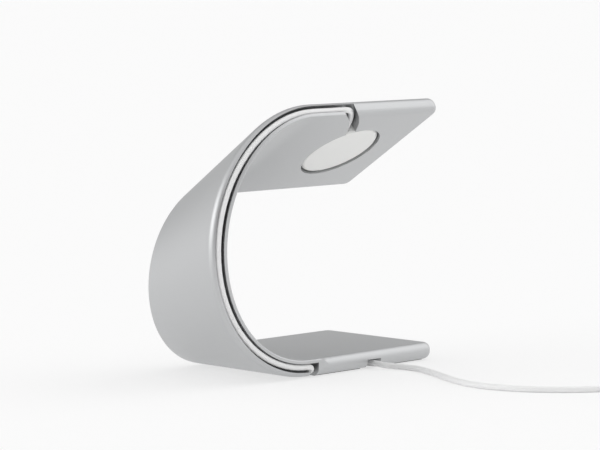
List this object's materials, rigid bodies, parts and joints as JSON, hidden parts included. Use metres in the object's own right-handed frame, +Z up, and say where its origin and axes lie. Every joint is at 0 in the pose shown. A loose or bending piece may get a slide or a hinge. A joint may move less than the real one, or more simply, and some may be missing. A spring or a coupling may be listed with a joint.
{
  "type": "smartwatch charging dock",
  "caption": "Bent aluminium watch stand with a tilted arm, a round magnetic charger set in the arm and its cable held in a groove round the bend.",
  "frame": {"origin": "on the table, under the middle of the stand's own box (the loose cord and its plug left out)", "axes": "+X along the plate's strip towards its open front edges, +Z up, -Y the side with the cable groove"},
  "size_m": [0.1417, 0.198, 0.0893],
  "materials": {
    "anodised_aluminium": "fine bead-blasted satin",
    "pad_rubber": "matt",
    "white_polycarbonate": "gloss",
    "white_back_plastic": "satin",
    "white_cable_jacket": "satin",
    "enamelled_copper": "satin",
    "ferrite": "matt",
    "nickel_plate": "polished",
    "steel": "satin",
    "board_green": "solder mask",
    "chip_black": "matt",
    "contact_gold": "polished"
  },
  "bodies": {
    "root": {"stand_body": "anodised_aluminium", "base_pads": "pad_rubber", "puck_back_shell": "white_back_plastic", "puck_front_dish": "white_polycarbonate", "charging_coil": "enamelled_copper", "coil_ferrite": "ferrite", "centre_magnet": "nickel_plate", "magnet_yoke": "steel", "puck_circuit_board": "board_green", "board_chips": "chip_black", "puck_cable_sleeve": "white_cable_jacket", "cable_in_groove": "white_cable_jacket", "cord_lead": "white_cable_jacket", "cord_coil": "white_cable_jacket", "cord_tie": "white_back_plastic", "plug_strain_relief": "white_cable_jacket", "plug_grip": "white_back_plastic", "plug_shell": "steel", "plug_tongue": "white_back_plastic", "plug_contacts": "contact_gold"}
  },
  "joints": []
}
